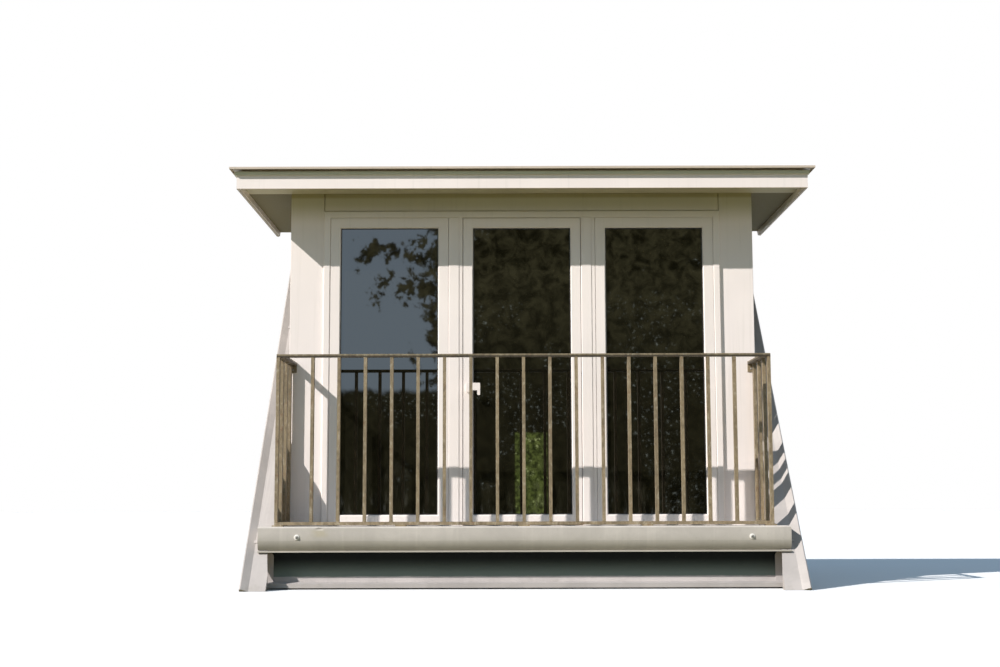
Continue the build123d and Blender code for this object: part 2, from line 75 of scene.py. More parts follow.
# Settings that a user would change
def length(name, description, default):
    return FloatProperty(name=name, description=description, default=default, unit="LENGTH",
                         subtype="DISTANCE")


def angle(name, description, degrees):
    return FloatProperty(name=name, description=description, default=radians(degrees),
                         unit="ROTATION", subtype="ANGLE")


def colour(name, description, default):
    return FloatVectorProperty(name=name, description=description, default=default, size=3,
                               min=0.0, max=1.0, subtype="COLOR")


class DormerFinishes(bpy.types.PropertyGroup):
    """Colours of the dormer's materials."""
    door_frame: colour("Door frame", "Lacquer of the frame and the sashes", (0.90, 0.82, 0.775))
    boards: colour("Boards", "Paint of the corner boards, fascias and head board",
                   (0.90, 0.82, 0.785))
    # Painted shade: darker than the other boards' white, so that the sunlit cheeks look dimmer
    cheeks: colour("Cheeks", "Weathered paint of the boards on the cheeks", (0.66, 0.635, 0.59))
    # Painted shade and bounce: the soffit's white paint is given a darker, yellower tone
    soffit: colour("Soffit", "Paint under the roof's front edge", (0.57, 0.52, 0.355))
    # Painted shade: the side soffits' much darker tone stands for the shade under the roof's side
    # edges
    side_soffit: colour("Side soffit", "Dirtier paint under the roof's side edges",
                        (0.205, 0.175, 0.090))
    # Painted shade: darkens the frame and boards under the roof's overhang, where shade falls
    eaves_shade_tint: colour("Eaves dirt", "Tint of boards that the roof keeps the rain off",
                       (0.57, 0.60, 0.45))
    # Painted shade: a darker band right below the soffit
    soffit_corner_shade: colour("Corner dirt", "Tint of boards right below the soffit", (0.72, 0.67, 0.52))
    # Painted shade: darkens the fascias' lower faces
    fascia_underside_shade: colour("Edge underside", "Tint of the fascias' lower edges", (0.50, 0.45, 0.33))
    # Painted shade: dark olive tone for the deck edge under the trim
    deck_edge_shade: colour("Edge dirt", "Paint of the roof deck's edge, under the trim",
                      (0.60, 0.60, 0.45))
    roof_trim: colour("Roof trim", "Coating of the trim round the roof edge", (0.61, 0.52, 0.43))
    apron: colour("Apron", "Coating of the apron and its sill", (0.53, 0.49, 0.475))
    flashing: colour("Flashing", "Weathered sheet beside the dormer", (0.44, 0.405, 0.385))
    ledge: colour("Ledge", "Weathered zinc of the ledge", (0.53, 0.49, 0.445))
    railing: colour("Railing", "Weathered steel of the railing", (0.235, 0.182, 0.108))
    rubbed_steel: colour("Rubbed steel", "Pale spots on the railing", (0.46, 0.41, 0.31))
    rust: colour("Rust", "Rust on the railing and the bolts", (0.16, 0.065, 0.026))
    grime: colour("Grime", "Dirt that rain leaves on boards and sheets", (0.12, 0.115, 0.085))
    # Painted shade: the apron's colour in the ledge's shadow, darkened to near black under the ledge
    apron_shade: colour("Damp dirt", "Dirt on sheltered sheets that rain never reaches",
                 (0.175, 0.215, 0.190))
    glass: colour("Glass", "Glass with the dark room behind it", (0.0066, 0.0062, 0.0036))
    rubber: colour("Rubber", "Glazing gaskets and roof sheet", (0.022, 0.022, 0.023))
    timber: colour("Timber", "Planed softwood of posts, beams and kerbs", (0.52, 0.37, 0.21))
    timber_grain: colour("Timber grain", "Late wood in the softwood", (0.33, 0.20, 0.095))
    steel: colour("Plated steel", "Plating of bolts and screws", (0.30, 0.29, 0.27))
    washer: colour("Washer", "Coating of the washers on the ledge", (0.80, 0.78, 0.73))


class DormerFittings(bpy.types.PropertyGroup):
    """Sizes of the pieces that are added to the frame."""
    roof_pitch: angle("Roof pitch", "Slope of the roof that the dormer stands in", 49.4)
    bolt_inset: length("Bolt inset", "From the end of the ledge to its bolt", 0.243)
    bolt_drop: length("Bolt drop", "From the top of the ledge to its bolts", 0.065)
    washer_radius: length("Washer radius", "Radius of the washer under a ledge bolt", 0.017)
    washer_thickness: length("Washer thickness", "Thickness of the washer under a ledge bolt", 0.0045)
    washer_sink: length("Washer sink", "How far a washer's back is sunk in the round ledge", 0.003)
    rebate: length("Rebate", "How far a pane reaches into its sash", 0.0135)
    gasket_width: length("Gasket width", "Width of the rubber line round a pane", 0.006)
    gasket_height: length("Gasket height", "How far a gasket stands off its pane", 0.003)
    gasket_round: length("Gasket rounding", "Rounding of a gasket's edges", 0.0012)
    board_width: length("Board width", "Width of one board of the cheek cladding", 0.1206)
    board_round: length("Board rounding", "Rounding of a board's edges", 0.002)
    backing: length("Backing", "Thickness of the sheet behind the boards", 0.003)
    groove: length("Groove", "Width of the joint between two boards", 0.004)
    bar_count: IntProperty(name="Bars", description="Upright bars between the railing's corners",
                           default=17, min=1)
    bar_spacing: length("Bar spacing", "From one upright bar to the next", 0.167)
    bar_width: length("Bar width", "Width of a bar seen from the front", 0.020)
    bar_depth: length("Bar depth", "Depth of a bar from front to back", 0.040)
    side_bar_count: IntProperty(name="Side bars", description="Upright bars on each side",
                                default=3, min=1)
    side_bar_start: length("First side bar", "From the wall to the first side bar", 0.035)
    side_bar_spacing: length("Side bar spacing", "From one side bar to the next", 0.170)
    bottom_bar_top: length("Bottom bar", "From the ledge to the top of the bottom bar", 0.028)
    weld: length("Weld", "Height of the weld where a bar meets a rail", 0.0035)
    weld_reach: length("Weld reach", "How far a weld stands out round its bar", 0.0012)
    plate_screw_drop: length("Plate screw drop", "From the railing's top to the wall screw", 0.050)
    plate_thickness: length("Plate thickness", "Thickness of the railing's wall plate", 0.005)
    wall_depth: length("Wall depth", "Distance of the wall's face behind the origin", 0.443)
    sheet_lap: length("Roof lap", "Width of a glued lap in the roof sheet", 0.055)
    sheet_count: IntProperty(name="Sheets", description="Lengths of the roof sheet", default=3, min=1)
    lap_height: length("Lap height", "How far a lap stands above the sheet", 0.002)
    lap_sink: length("Lap sink", "How far a lap is sunk in the sheet", 0.001)
    lap_round: length("Lap rounding", "Rounding of a lap's edges", 0.0014)
    lap_from_front: length("Lap's front gap", "From the sheet's front edge to a lap", 0.01)
    lap_from_back: length("Lap's back gap", "From a lap to the sheet's back edge", 0.16)


class DormerStage(bpy.types.PropertyGroup):
    """Light, floor and camera."""
    sun: FloatProperty(name="Sun", description="Strength of the sun", default=5.4, min=0.0)
    sun_direction: FloatVectorProperty(name="Sun direction", description="The way the light travels",
                                       default=(1.56, 1.0, -1.38), size=3, subtype="DIRECTION")
    sun_colour: colour("Sun colour", "Colour of the sunlight", (1.0, 0.96, 0.92))
    sun_width: angle("Sun width", "Width of the sun in the sky", 0.53)
    sky_above: colour("Sky above", "Light from high in the sky", (0.25, 0.36, 0.49))
    sky_below: colour("Low sky", "Light from near the horizon", (0.31, 0.38, 0.41))
    floor_bounce: colour("Floor bounce", "Share of the light that the floor sends up",
                         (0.200, 0.172, 0.078))
    camera_place: FloatVectorProperty(name="Camera", description="Where the camera stands",
                                      default=(-0.1486, -9.2043, 0.5497), size=3, unit="LENGTH",
                                      subtype="TRANSLATION")
    camera_pitch: angle("Camera pitch", "How far the camera looks up", 6.567)
    camera_turn: angle("Camera turn", "How far the camera is turned to the left", 0.0)
    camera_roll: angle("Camera roll", "Roll of the camera", -0.151)
    focal_length: FloatProperty(name="Focal length", description="Focal length on a 36 mm sensor",
                                default=51.84, min=1.0, unit="CAMERA")


# Shader building
class Value:
    """A number that varies over a surface. Arithmetic on it adds Math nodes."""

    def __init__(self, graph, socket):
        self.graph = graph
        self.socket = socket

    def __add__(self, other):
        return self.graph.maths("ADD", self, other)

    def __sub__(self, other):
        return self.graph.maths("SUBTRACT", self, other)

    def __rsub__(self, other):
        return self.graph.maths("SUBTRACT", other, self)

    def __mul__(self, other):
        return self.graph.maths("MULTIPLY", self, other)

    __radd__ = __add__
    __rmul__ = __mul__


class Graph:
    """The nodes of one material or of the world."""

    def __init__(self, owner, coordinates="Object"):
        owner.use_nodes = True
        self.owner = owner
        self.tree = owner.node_tree
        self.tree.nodes.clear()
        self.place = self.node("ShaderNodeTexCoord").outputs[coordinates]
        split = self.node("ShaderNodeSeparateXYZ", inputs={0: self.place})
        self.x, self.y, self.z = [Value(self, socket) for socket in split.outputs]

    def node(self, kind, settings=None, inputs=None):
        """A node of a kind, its settings made first, then its sockets filled or linked."""
        node = self.tree.nodes.new(kind)
        for setting, content in (settings or {}).items():
            setattr(node, setting, content)
        for key, content in (inputs or {}).items():
            socket = node.inputs[key]
            if isinstance(content, Value):
                content = content.socket
            if isinstance(content, bpy.types.NodeSocket):
                self.tree.links.new(content, socket)
            else:
                socket.default_value = content
        return node

    def maths(self, operation, first, second=0.0):
        node = self.node("ShaderNodeMath", {"operation": operation}, {0: first, 1: second})
        return Value(self, node.outputs[0])

    def limit(self, value, start, end):
        """0 below start, 1 above end and a smooth rise between them."""
        node = self.node("ShaderNodeMapRange", {"interpolation_type": "SMOOTHSTEP"},
                         {"Value": value, "From Min": start, "From Max": end})
        return Value(self, node.outputs["Result"])

    def stretched(self, scale, turn=0.0):
        """The coordinates, turned about X and stretched."""
        mapping = self.node("ShaderNodeMapping", {"vector_type": "POINT"},
                            {"Vector": self.place, "Rotation": (turn, 0.0, 0.0)})
        return self.node("ShaderNodeVectorMath", {"operation": "MULTIPLY"},
                         {0: mapping.outputs[0], 1: scale}).outputs[0]

    def noise(self, scale, detail=2.0, roughness=0.5, turn=0.0, warp=0.0):
        """Noise from 0 to 1, with its grains per metre along each axis."""
        if isinstance(scale, (int, float)):
            scale = (scale, scale, scale)
        node = self.node("ShaderNodeTexNoise", {"noise_dimensions": "3D"},
                         {"Vector": self.stretched(scale, turn), "Scale": 1.0, "Detail": detail,
                          "Roughness": roughness, "Distortion": warp})
        return Value(self, node.outputs["Fac"])

    def specks(self, scale, size):
        """Round specks: 1 at the middle of each, 0 outside its size."""
        node = self.node("ShaderNodeTexVoronoi", {"feature": "F1"},
                         {"Vector": self.place, "Scale": scale, "Randomness": 1.0})
        return 1.0 - self.limit(Value(self, node.outputs["Distance"]), size * 0.4, size)

    def mix(self, first, second, factor, blend="MIX"):
        """Colour between two colours."""
        factor_in, first_in, second_in, colour_out = 0, 6, 7, 2
        node = self.node("ShaderNodeMix",
                         {"data_type": "RGBA", "blend_type": blend, "clamp_factor": True},
                         {factor_in: factor, first_in: whole_colour(first),
                          second_in: whole_colour(second)})
        return node.outputs[colour_out]

    def tint(self, base, tone, factor):
        """Colour darkened by a tone where factor is 1."""
        return self.mix(base, tone, factor, "MULTIPLY")

    def bump(self, height, depth, before=None):
        """Normal of a surface raised by height times depth in metres."""
        inputs = {"Height": height, "Distance": depth, "Strength": 1.0}
        if before is not None:
            inputs["Normal"] = before
        return self.node("ShaderNodeBump", inputs=inputs).outputs[0]

    def seen_directly(self):
        """1 for rays from the camera, in reflections and through glass; 0 for light on the object."""
        path = self.node("ShaderNodeLightPath").outputs
        seen = Value(self, path["Is Camera Ray"])
        for kind in ("Is Glossy Ray", "Is Transmission Ray"):
            seen = self.maths("MAXIMUM", seen, Value(self, path[kind]))
        return seen

    def either(self, first, second, factor):
        """Shader between two shaders."""
        return self.node("ShaderNodeMixShader", inputs={0: factor, 1: first, 2: second}).outputs[0]

    def output(self, shader, kind="ShaderNodeOutputMaterial"):
        self.node(kind, inputs={0: shader})
        return self.owner

    def finish(self, **inputs):
        """Join it all in one principled shader."""
        names = {key.replace("_", " ").title().replace("Ior", "IOR"): whole_colour(content)
                 for key, content in inputs.items()}
        return self.output(self.node("ShaderNodeBsdfPrincipled", inputs=names).outputs[0])


def new_surface(name):
    return Graph(bpy.data.materials.new(name))


def whole_colour(content):
    """A colour of three numbers with its alpha added; anything else as it is."""
    if isinstance(content, (int, float, Value, bpy.types.NodeSocket)):
        return content
    content = tuple(content)
    return content + (1.0,) if len(content) == 3 else content


def tinted(tone, factor):
    return tuple(min(1.0, part * factor) for part in tone)


# Finishes
def painted(name, tone, grime, relief, dirt, roughness, shine=0.5, eaves=None, underside=None):
    """Paint on boards and frames: fine relief, rain runs and dirt near the foot.

    eaves is (tint, corner tint, start, end): painted shade that grows from one height to another,
    and more of it above. underside is (tint, height): painted shade on the faces below that height.
    """
    s = new_surface(name)
    broad = s.noise(1.7, 3.0, 0.55)
    runs = s.noise((34.0, 34.0, 1.1), 3.0, 0.6, warp=0.3)
    grain = s.noise((240.0, 240.0, 60.0), 3.0, 0.55)
    spots = s.specks(46.0, 0.085) * s.limit(s.noise(9.0), 0.55, 0.7)
    splash = 1.0 - s.limit(s.z + s.noise(11.0, 2.0) * 0.12, 0.40, 0.62)
    base = s.mix(tinted(tone, 0.965), tinted(tone, 1.02), s.limit(broad, 0.3, 0.7))
    base = s.mix(base, tinted(grime, 2.6), s.limit(runs, 0.52, 0.86) * dirt)
    splash = splash * s.limit(s.noise(26.0, 3.0), 0.35, 0.8)
    base = s.mix(base, tinted(grime, 1.9), splash * (dirt * 1.2))
    base = s.mix(base, grime, spots * (dirt * 1.6))
    # Painted shade under the roof's overhang, with a darker painted band right below the soffit
    if eaves:
        tint, corner_tint, start, end = eaves
        fade = 0.012
        base = s.tint(base, tint, s.limit(s.z + broad * 0.03, start, end))
        base = s.tint(base, corner_tint, s.limit(s.z, end - fade, end + fade))
    # Painted shade on the faces below the given height
    if underside:
        tint, height = underside
        base = s.tint(base, tint, 1.0 - s.limit(s.z, height + 0.001, height + 0.004))
    return s.finish(base_color=base, roughness=roughness + broad * 0.12 + spots * 0.2,
                    specular_ior_level=shine, normal=s.bump(grain, relief))


def zinc_base(s, tone, bloom, grime, turn, streaks):
    """Colour of weathered sheet: soft patina clouds, and pale runs down the fall."""
    clouds = s.noise(3.4, 5.0, 0.62, warp=0.6)
    runs = s.noise((26.0, 1.3, 1.3), 4.0, 0.6, turn=turn, warp=0.25)
    stains = s.limit(s.noise(7.0, 4.0, 0.6), 0.60, 0.78)
    base = s.mix(tinted(tone, 0.92), tinted(tone, 1.08), s.limit(clouds, 0.32, 0.68))
    base = s.mix(base, bloom, s.limit(runs, 0.50, 0.80) * streaks)
    return s.mix(base, tinted(grime, 1.5), stains * 0.25)


def zinc_finish(s, base, grime, waviness, roughness, normal=None, shine=0.5):
    """Fine mottling and slight waves on a sheet."""
    mottle = s.noise(60.0, 3.0, 0.6)
    base = s.mix(base, tinted(grime, 1.2), s.limit(mottle, 0.62, 0.86) * 0.22)
    normal = s.bump(s.noise((5.0, 3.0, 3.0), 1.0, 0.4), waviness, normal)
    return s.finish(base_color=base, roughness=roughness + mottle * 0.25, specular_ior_level=shine,
                    normal=s.bump(mottle, 0.00010, normal))


def zinc(name, tone, bloom, grime, turn, streaks, shine=0.5):
    """Sheet that rain washes along its fall, which is turned about X."""
    s = new_surface(name)
    base = zinc_base(s, tone, bloom, grime, turn, streaks)
    return zinc_finish(s, base, grime, waviness=0.0012, roughness=0.40, shine=shine)


def shaded_zinc(name, tone, grime, apron_shade, low, high):
    """Apron under the ledge: painted shade of the ledge above one height, ever darker up to another.
    """
    s = new_surface(name)
    base = zinc_base(s, tone, tinted(tone, 1.1), grime, turn=0.0, streaks=0.3)
    ragged = s.noise((9.0, 9.0, 30.0), 4.0, 0.6) * 0.012
    # Painted shade of the ledge, from its lower edge up to near black under the ledge
    shadowed = s.limit(s.z + ragged, low, low + 0.008)
    shade_colour = s.mix(apron_shade, tinted(apron_shade, 0.04), s.limit(s.z, low, high))
    base = s.mix(base, shade_colour, shadowed)
    return zinc_finish(s, base, grime, waviness=0.0008, roughness=0.42, shine=0.12)


def ledge_zinc(name, tone, grime, dent):
    """Ledge: zinc with runs over its round edge, painted shade on its lower part, and a dent with a
    stain under it.
    """
    s = new_surface(name)
    dent_x, dent_z = dent
    stain_z = dent_z - 0.028
    base = zinc_base(s, tone, tinted(tone, 1.3), grime, turn=pi / 2, streaks=0.30)
    across = s.maths("ABSOLUTE", s.x - dent_x)
    down = s.maths("ABSOLUTE", s.z - dent_z)
    hollow = (1.0 - s.limit(across, 0.004, 0.030)) * (1.0 - s.limit(down, 0.002, 0.010))
    stain = 1.0 - s.limit(across + s.noise(40.0, 3.0) * 0.06, 0.03, 0.11)
    stain = stain * (1.0 - s.limit(s.maths("ABSOLUTE", s.z - stain_z), 0.008, 0.034))
    base = s.mix(base, (tone[0] * 0.86, tone[1] * 0.82, tone[2] * 0.62), stain * 0.6)
    # Painted shade: the face darkens below the top, where the round edge turns down
    above_shade = s.limit(s.z + s.noise((2.0, 9.0, 9.0)) * 0.02, dent_z - 0.105, dent_z - 0.005)
    base = s.tint(base, (0.70, 0.70, 0.65), 1.0 - above_shade)
    return zinc_finish(s, base, grime, waviness=0.0016, roughness=0.40,
                       normal=s.bump(1.0 - hollow, 0.004))


def weathered_steel(name, tone, rust, pale, rail_top, rail_height):
    """Railing steel: brown patina in upright clouds, rust specks, and painted shade on the handrail,
    darkest below its top.
    """
    s = new_surface(name)
    clouds = s.noise((9.0, 9.0, 2.6), 4.0, 0.62, warp=0.4)
    blotches = s.noise((60.0, 60.0, 26.0), 3.0, 0.65)
    flecks = s.noise(190.0, 3.0, 0.7)
    rusting = s.limit(s.noise(17.0, 5.0, 0.7), 0.55, 0.70)
    base = s.mix(tinted(tone, 0.74), tinted(tone, 1.26), s.limit(clouds, 0.28, 0.72))
    base = s.mix(base, pale, s.limit(blotches, 0.52, 0.70) * 0.50)
    base = s.mix(base, tinted(tone, 0.42), (1.0 - s.limit(blotches, 0.34, 0.46)) * 0.55)
    base = s.mix(base, tinted(rust, 0.75), (1.0 - s.limit(flecks, 0.28, 0.46)) * 0.55)
    base = s.mix(base, rust, rusting * 0.45)
    rail_foot = rail_top - rail_height
    # Painted shade: the handrail is darkened, and darker still below a thin lighter top strip
    handrail = s.limit(s.z, rail_foot - 0.0005, rail_foot + 0.0005)
    lit_edge = s.limit(s.z + blotches * 0.003, rail_top - 0.0100, rail_top - 0.0065)
    base = s.tint(base, (0.76, 0.78, 0.77), handrail)
    base = s.tint(base, (0.20, 0.18, 0.13), handrail * (1.0 - lit_edge))
    return s.finish(base_color=base, roughness=0.50 + rusting * 0.25 + flecks * 0.12,
                    specular_ior_level=0.5, normal=s.bump(flecks + rusting * 0.6, 0.00030))


def timber(name, early, late, direction, turn=0.0):
    """Planed softwood with its grain along one axis, some knots and fine pores."""
    s = new_surface(name)
    along = {"x": (0.9, 17.0, 17.0), "y": (17.0, 0.9, 17.0), "z": (17.0, 17.0, 0.9)}[direction]
    fine = tuple(part * 9.0 for part in along)
    rings = s.noise(along, 3.0, 0.55, turn=turn, warp=0.9)
    bands = s.maths("PINGPONG", rings * 11.0, 1.0)
    fibres = s.noise(fine, 3.0, 0.6, turn=turn)
    knots = s.specks(2.3, 0.055)
    base = s.mix(early, late, s.limit(bands, 0.25, 0.95) * 0.62)
    base = s.mix(base, tinted(late, 0.75), s.limit(fibres, 0.50, 0.85) * 0.35)
    base = s.mix(base, tinted(late, 0.35), knots * 0.8)
    return s.finish(base_color=base, roughness=0.58 + fibres * 0.2,
                    normal=s.bump(fibres + bands * 0.4, 0.00035))


def rubber_sheet(name, tone, dust):
    """Roof sheet: dull black rubber with settled dust and dried puddle rims."""
    s = new_surface(name)
    dusty = s.limit(s.noise(2.6, 5.0, 0.6, warp=0.5), 0.40, 0.76)
    puddle = s.noise(1.1, 3.0, 0.5, warp=0.4)
    rim = s.limit(puddle, 0.50, 0.52) * (1.0 - s.limit(puddle, 0.52, 0.60))
    grit = s.noise(240.0, 2.0, 0.6)
    base = s.mix(tone, dust, dusty * 0.34)
    base = s.mix(base, dust, rim * 0.16)
    base = s.mix(base, tinted(dust, 1.4), s.limit(grit, 0.62, 0.80) * 0.25)
    return s.finish(base_color=base, roughness=0.52 + dusty * 0.3, normal=s.bump(grit, 0.00025))


def pane(name, tone, dust):
    """Glass before a dark room, with a trace of dust near its foot."""
    s = new_surface(name)
    dusty = s.limit(s.noise((30.0, 30.0, 9.0), 4.0, 0.6), 0.50, 0.80)
    dusty = dusty * (1.0 - s.limit(s.z, 0.50, 0.95))
    return s.finish(base_color=s.mix(tone, dust, dusty * 0.10), roughness=0.015 + dusty * 0.10,
                    ior=1.75, normal=s.bump(s.noise(1.3, 1.0, 0.3), 0.0004))


def plain_rubber(name, tone):
    s = new_surface(name)
    worn = s.noise(90.0, 3.0, 0.6)
    return s.finish(base_color=s.mix(tone, tinted(tone, 2.6), s.limit(worn, 0.45, 0.8) * 0.5),
                    roughness=0.5 + worn * 0.2, normal=s.bump(worn, 0.0001))


def plated_steel(name, tone, rust):
    """Bolt and screw heads: zinc-plated, with rust creeping from the rim."""
    s = new_surface(name)
    worn = s.noise(160.0, 4.0, 0.65)
    base = s.mix(tone, rust, s.limit(worn, 0.52, 0.74) * 0.55)
    return s.finish(base_color=base, metallic=0.75 - s.limit(worn, 0.5, 0.72) * 0.6,
                    roughness=0.34 + worn * 0.3, normal=s.bump(worn, 0.00012))


# Building pieces
def round_edges(bm, edges, size):
    bmesh.ops.bevel(bm, geom=list(edges), offset=size, offset_type="OFFSET", affect="EDGES",
                    segments=BEVEL_STEPS, profile=0.5, material=-1)


def add_box(bm, low, high, rounding=0.0):
    """Box between two corners, its edges rounded."""
    verts = bmesh.ops.create_cube(bm, size=1.0)["verts"]
    bmesh.ops.scale(bm, vec=[b - a for a, b in zip(low, high)], verts=verts)
    bmesh.ops.translate(bm, vec=[(a + b) / 2 for a, b in zip(low, high)], verts=verts)
    if rounding:
        round_edges(bm, {edge for vert in verts for edge in vert.link_edges}, rounding)


def add_turned(bm, profile, place, turn, steps=32):
    """Turned piece: a profile of (radius, height) spun about its axis, then set in place."""
    before = set(bm.verts)
    verts = [bm.verts.new((radius, 0.0, height)) for radius, height in profile]
    edges = [bm.edges.new(pair) for pair in zip(verts, verts[1:])]
    bmesh.ops.spin(bm, geom=verts + edges, cent=(0, 0, 0), axis=(0, 0, 1), angle=2 * pi, steps=steps,
                   use_merge=True)
    made = [vert for vert in bm.verts if vert not in before]
    bmesh.ops.remove_doubles(bm, verts=made, dist=0.00001)
    made = [vert for vert in bm.verts if vert not in before]
    bmesh.ops.transform(bm, matrix=Matrix.Translation(place) @ turn.to_4x4(), verts=made)


def add_upright_sheet(bm, width, height, place):
    """Flat sheet that faces the front, as one face."""
    verts = bmesh.ops.create_grid(bm, x_segments=1, y_segments=1, size=0.5)["verts"]
    bmesh.ops.scale(bm, vec=(width, height, 1.0), verts=verts)
    bmesh.ops.rotate(bm, matrix=FACING_OUT, verts=verts)
    bmesh.ops.translate(bm, vec=place, verts=verts)
    return verts[0].link_faces[0]


def add_frame(bm, low, high, width, depth, rounding):
    """Upright ring of one width between two corners in x and z, from y to y + depth."""
    middle = Vector([(a + b) / 2 for a, b in zip(low, high)])
    face = add_upright_sheet(bm, high[0] - low[0], high[2] - low[2], middle)
    ring = bmesh.ops.inset_region(bm, faces=[face], thickness=width, use_boundary=True,
                                  use_even_offset=True)["faces"]
    bmesh.ops.delete(bm, geom=[face], context="FACES_ONLY")
    made = bmesh.ops.extrude_face_region(bm, geom=ring)["geom"]
    moved = [item for item in made if isinstance(item, bmesh.types.BMVert)]
    bmesh.ops.translate(bm, vec=(0, depth, 0), verts=moved)
    edges = {edge for vert in moved for edge in vert.link_edges if edge.other_vert(vert) in moved}
    round_edges(bm, edges, rounding)


def new_object(name, bm, material):
    """Object made of a bmesh, in the scene."""
    mesh = bpy.data.meshes.new(name)
    bm.to_mesh(mesh)
    bm.free()
    mesh.materials.append(material)
    thing = bpy.data.objects.new(name, mesh)
    bpy.context.scene.collection.objects.link(thing)
    return thing


def make_piece(name, bm, finish, stands_for=()):
    """Turn a bmesh into a finished piece of the dormer."""
    bmesh.ops.recalc_face_normals(bm, faces=bm.faces)
    piece = new_object(name, bm, bpy.data.materials[finish])
    piece.data.polygons.foreach_set("use_smooth", [True] * len(piece.data.polygons))
    piece.data.set_sharp_from_angle(angle=SMOOTH_BELOW)
    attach(piece, "root")
    if stands_for:
        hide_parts(*stands_for)


def cut_away(bm, point, normal):
    """Cut off what lies on the normal's side of a plane and close the cut."""
    made = bmesh.ops.bisect_plane(bm, geom=bm.verts[:] + bm.edges[:] + bm.faces[:], plane_co=point,
                                  plane_no=normal, clear_outer=True)
    cut = [item for item in made["geom_cut"] if isinstance(item, bmesh.types.BMEdge)]
    bmesh.ops.holes_fill(bm, edges=cut, sides=0)


class PieceOperator:
    """What the dormer's operators share."""
    bl_options = {"REGISTER", "UNDO"}

    def execute(self, context):
        self.make(context.scene.dormer_fittings, context.scene.dormer_finishes)
        return {"FINISHED"}


# Painted finishes: tone, relief in metres, share of dirt, roughness
PAINTS = {
    "lacquered_frame": ("door_frame", 0.00006, 0.10, 0.33),
    "painted_board": ("boards", 0.00014, 0.16, 0.45),
    "painted_edge": ("boards", 0.00014, 0.16, 0.45),
    # Painted shade: the deck edge's darker tone stands for the trim's shade
    "sheltered_edge": ("deck_edge_shade", 0.00014, 0.25, 0.50),
    # Painted shade: the cheeks' darker tone dims their sunlit faces; the dirt share is real dirt
    "weathered_board": ("cheeks", 0.00020, 0.45, 0.55),
    # Painted shade: the soffit's tone is darker and yellower than the boards' white
    "painted_soffit": ("soffit", 0.00014, 0.25, 0.55),
    # Painted shade: darker tone for the side soffits
    "side_soffit": ("side_soffit", 0.00014, 0.25, 0.60),
    "coated_trim": ("roof_trim", 0.00008, 0.35, 0.36),
    "lacquered_handle": ("door_frame", 0.00004, 0.10, 0.22),
    "washer_steel": ("washer", 0.00008, 0.20, 0.40),
}

FINISHED_NODES = {
    "lacquered_frame": (both("jamb") + both("mullion") + ["frame_head"]
                        + [door + "_door_sash" for door in DOORS]),
    "painted_board": both("corner_board") + both("side_wall") + ["head_board"],
    "painted_edge": both("fascia") + ["fascia_front"],
    "sheltered_edge": ["roof_deck"],
    "weathered_board": both("cheek_cladding"),
    "painted_soffit": ["soffit_front", "ceiling_lining"],
    "side_soffit": both("soffit"),
    "coated_trim": both("edge_trim") + ["edge_trim_front"],
    "lacquered_handle": ["door_handle"],
    "apron_sheet": ["apron_panel"],
    "apron_edge_sheet": both("apron_return") + ["apron_sill"],
    "side_sheet": both("side_flashing") + ["back_flashing", "door_threshold"],
    "ledge_sheet": ["ledge_nose"],
    "deck_sheet": ["balcony_deck"],
    "railing_steel": both("railing") + ["railing_front"],
    "timber_across": ["lintel", "roof_panel", "head_kerb", "sill_beam", "foot_plate", "foot_frame"],
    "timber_upright": both("corner_post"),
    "timber_sloping": both("cheek") + both("kerb"),
    "roof_rubber": ["roof_sheet"],
    "door_pane": [door + "_door_glass" for door in DOORS],
}


class DORMER_OT_finishes(PieceOperator, bpy.types.Operator):
    """Make the finishes and give each part of the frame its own"""
    bl_idname = "dormer.finishes"
    bl_label = "Finishes"

    def make(self, sizes, tones):
        self.make_paints(tones)
        self.make_sheets(tones, -sizes.roof_pitch)
        rail_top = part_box("railing_front")[1][2]
        weathered_steel("railing_steel", tones.railing, tones.rust, tones.rubbed_steel, rail_top,
                        sizes.bar_width)
        timber("timber_across", tones.timber, tones.timber_grain, "x")
        timber("timber_upright", tones.timber, tones.timber_grain, "z")
        timber("timber_sloping", tones.timber, tones.timber_grain, "y", -sizes.roof_pitch)
        rubber_sheet("roof_rubber", tones.rubber, tones.grime)
        pane("door_pane", tones.glass, tinted(tones.grime, 2.0))
        plain_rubber("gasket_rubber", tones.rubber)
        plated_steel("bolt_steel", tones.steel, tones.rust)
        for finish, names in FINISHED_NODES.items():
            for name in names:
                for slot in NODES[name].material_slots:
                    slot.material = bpy.data.materials[finish]

    def make_paints(self, tones):
        low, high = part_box("head_board")
        # Painted shade from below the head board up to the soffit
        eaves = (tones.eaves_shade_tint, tones.soffit_corner_shade, low[2] - 0.09, high[2] - 0.03)
        fascia_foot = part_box("left_fascia")[0][2]
        more = {
            "lacquered_frame": {"eaves": eaves},
            "painted_board": {"eaves": eaves},
            # Painted shade on the fascias' lower faces
            "painted_edge": {"underside": (tones.fascia_underside_shade, fascia_foot)},
            "side_soffit": {"shine": 0.12},
        }
        for finish, (tone, relief, dirt, roughness) in PAINTS.items():
            painted(finish, getattr(tones, tone), tones.grime, relief, dirt, roughness,
                    **more.get(finish, {}))

    def make_sheets(self, tones, fall):
        """Zinc sheets. The dent and the foot of the apron's painted shade are set from the sheets'
        edges.
        """
        grime = tones.grime
        pale = tinted(tones.flashing, 1.5)
        zinc("apron_edge_sheet", tinted(tones.apron, 0.87), tones.apron, grime, 0.0, 0.4)
        zinc("side_sheet", tones.flashing, pale, grime, fall, 0.45, 0.2)
        zinc("deck_sheet", tinted(tones.flashing, 0.8), pale, grime, 0.0, 0.25)
        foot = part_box("apron_panel")[0][2]
        shaded_zinc("apron_sheet", tones.apron, grime, tones.apron_shade, foot + 0.074, foot + 0.19)
        low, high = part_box("ledge_nose")
        ledge_zinc("ledge_sheet", tones.ledge, grime, (low[0] + 0.385, high[2] - 0.014))


